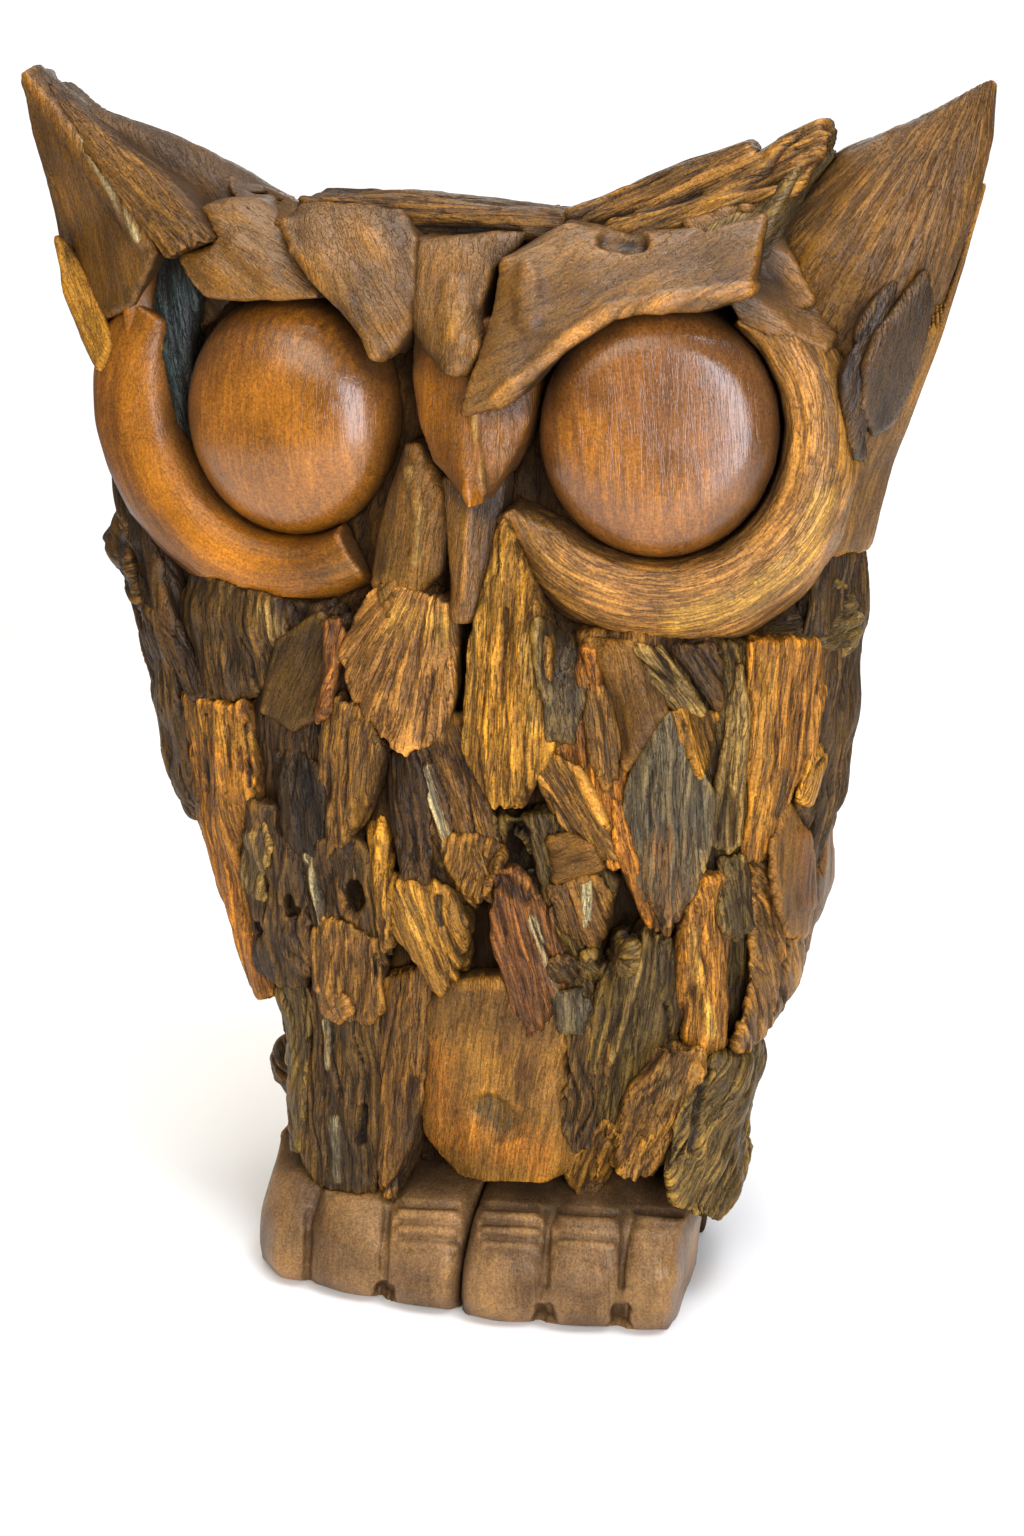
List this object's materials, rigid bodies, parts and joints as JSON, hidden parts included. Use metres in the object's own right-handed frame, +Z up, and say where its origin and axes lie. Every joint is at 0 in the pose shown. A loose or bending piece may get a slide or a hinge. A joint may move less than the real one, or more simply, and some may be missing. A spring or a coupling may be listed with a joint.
{
  "type": "carved wooden owl",
  "caption": "Standing wooden owl pieced from root chips round a log, with turned eye caps, crescent rims, pointed horns, a ridged beak and toed foot blocks.",
  "frame": {"origin": "middle of the underside, at the height the feet and the trunk stand on", "axes": "+Z up towards the horn tips, the owl faces -Y, +X to the viewer's right"},
  "size_m": [0.462, 0.2168, 0.611],
  "materials": {
    "log": "old log with a dark furrowed face, wiped with oil",
    "eye_cap": "turned hardwood cap, sanded smooth and varnished to a gloss",
    "orange_rim": "carved heartwood crescent, sanded smooth, satin varnish",
    "pale_rim": "carved crescent with pale sapwood below and brown wood above, satin varnish",
    "brow_slab": "smoothed root slab, satin varnish",
    "horn_plate": "cut slab with a fine straight grain, satin varnish",
    "beak_slab": "knife-cut slab with a sharp ridge, satin varnish",
    "grey_root": "weathered grey root, patches of gloss varnish",
    "dark_root": "dark weathered root with deep grain, dull varnish",
    "gold_heartwood": "split golden heartwood with open grain, satin varnish",
    "ochre_sapwood": "split pale sapwood with strong grain, satin varnish",
    "red_root": "red-brown root with worn grain, satin varnish",
    "tan_root": "mid brown root with worn grain, dull varnish",
    "foot_block": "carved block, brown and nearly matt"
  },
  "bodies": {
    "root": {"trunk": "log", "left_horn": "horn_plate", "right_horn": "horn_plate", "left_temple_root": "grey_root", "left_horn_patch": "ochre_sapwood", "right_horn_side": "gold_heartwood", "right_temple_root": "grey_root", "left_side_knob": "dark_root", "left_ankle_knot": "dark_root", "left_horn_plate": "horn_plate", "left_horn_feather": "dark_root", "left_horn_wedge": "brow_slab", "left_flank_stave": "dark_root", "right_flank_stave": "dark_root", "back_left_stave": "tan_root", "back_right_stave": "red_root", "back_middle_stave": "dark_root", "left_side_root": "dark_root", "right_side_root": "dark_root", "left_cheek_board": "dark_root", "left_cheek_root": "dark_root", "right_inner_stave": "dark_root", "right_cheek_root": "red_root", "centre_red_root": "red_root", "left_hollow_root": "dark_root", "left_burl": "red_root", "right_gold_board": "gold_heartwood", "left_gold_slab": "gold_heartwood", "left_gold_splinter": "tan_root", "right_gold_blade": "gold_heartwood", "cheek_fan": "red_root", "right_grey_leaf": "grey_root", "nose_strip": "brow_slab", "tongue": "ochre_sapwood", "nose_left": "tan_root", "left_lower_stave": "dark_root", "left_inner_stave": "tan_root", "gnarled_root": "dark_root", "right_corner_root": "dark_root", "right_orange_stave": "gold_heartwood", "right_burl": "dark_root", "right_knee": "red_root", "left_tan_block": "tan_root", "belly_block": "gold_heartwood", "right_gold_strip": "gold_heartwood", "red_blade": "red_root", "gold_chip": "gold_heartwood", "right_burl_leaf": "tan_root", "left_foot": "foot_block", "right_foot": "foot_block", "left_eye": "eye_cap", "right_eye": "eye_cap", "left_rim": "orange_rim", "right_rim": "pale_rim", "crown_board": "tan_root", "right_crest_splinters": "tan_root", "forehead": "brow_slab", "beak": "beak_slab", "left_brow": "brow_slab", "right_brow": "brow_slab"}
  },
  "joints": []
}
